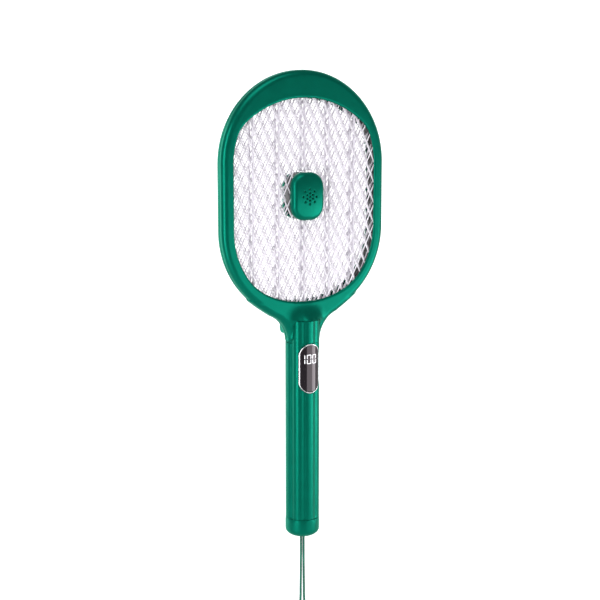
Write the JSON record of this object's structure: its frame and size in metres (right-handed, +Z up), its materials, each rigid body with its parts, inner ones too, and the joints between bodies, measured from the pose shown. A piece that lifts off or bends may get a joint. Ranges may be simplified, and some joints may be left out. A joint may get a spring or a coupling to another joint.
{
  "type": "electric bug zapper",
  "caption": "Racket-shaped electric insect swatter: oval ring head with diamond grids and a lamp capsule, fluted handle with display, trigger, slider and wrist lanyard.",
  "frame": {"origin": "on the handle's axis in the middle of the grip, 118 mm above the handle's end", "axes": "+Z up the handle to the head, +X right seen from the front, the display and the lamp cap face -Y"},
  "size_m": [0.1806, 0.049, 0.6236],
  "materials": {
    "green_plastic": "satin moulded",
    "dark_plastic": "fine texture",
    "grid_steel": "white nickel plated",
    "white_plastic": "smooth",
    "screw_steel": "plated",
    "circuit_board": "solder mask",
    "wire_insulation": "satin",
    "smoked_window": "smoked",
    "led_resin": "clear domes",
    "bezel_chrome": "polished",
    "lens_black": "high gloss",
    "digit_light": "lit",
    "copper_winding": "wound",
    "capacitor_film": "dipped",
    "battery_wrap": "shrink sleeve",
    "cord_braid": "braided"
  },
  "bodies": {
    "root": {"head_front_frame": "green_plastic", "head_back_frame": "green_plastic", "front_spacer": "dark_plastic", "middle_spacer": "dark_plastic", "back_spacer": "dark_plastic", "front_grid": "grid_steel", "front_live_grid": "grid_steel", "back_live_grid": "grid_steel", "back_grid": "grid_steel", "front_ribs": "white_plastic", "back_ribs": "white_plastic", "head_screws": "screw_steel", "lamp_front_cap": "green_plastic", "lamp_window": "smoked_window", "lamp_base": "dark_plastic", "lamp_board": "circuit_board", "uv_leds": "led_resin", "lamp_back_cap": "green_plastic", "lamp_screws": "screw_steel", "lamp_leads": "wire_insulation", "handle_front_shell": "green_plastic", "handle_back_shell": "green_plastic", "end_cap": "green_plastic", "handle_screws": "screw_steel", "display_bezel": "bezel_chrome", "display_lens": "lens_black", "display_digits": "digit_light", "display_board": "circuit_board", "main_board": "circuit_board", "transformer": "copper_winding", "hv_capacitor": "capacitor_film", "hv_diodes": "dark_plastic", "controller_chip": "dark_plastic", "head_leads": "wire_insulation", "trigger_pin": "screw_steel", "trigger_spring": "screw_steel", "push_switch": "dark_plastic", "slide_switch": "screw_steel", "battery_cell": "battery_wrap", "battery_contacts": "screw_steel", "battery_leads": "wire_insulation", "charge_board": "circuit_board", "charge_socket": "screw_steel", "lanyard_crimp": "screw_steel", "lanyard": "cord_braid"},
    "trigger_body": {"trigger": "green_plastic"},
    "plunger_body": {"switch_plunger": "white_plastic"},
    "slider_body": {"mode_slider": "green_plastic", "slide_switch_lever": "dark_plastic"}
  },
  "joints": [
    {"name": "trigger_pull", "type": "hinge", "parent": "root", "child": "trigger_body", "pos_m": [0, 0.0095, 0.1065], "axis": [-1, 0, 0], "range_deg": [0, 12], "stiffness_Nm_per_rad": 0.25, "springref_deg": -14.32, "deforming": ["trigger_spring"]},
    {"name": "plunger_press", "type": "slide", "parent": "root", "child": "plunger_body", "axis": [0, -1, 0], "range_m": [0, 0.0032]},
    {"name": "mode_slide", "type": "slide", "parent": "root", "child": "slider_body", "axis": [0, 0, 1], "range_m": [0, 0.006]}
  ],
  "couplings": [
    {"joint": "plunger_press", "follows": "trigger_pull", "m_per_rad": 0.015}
  ]
}
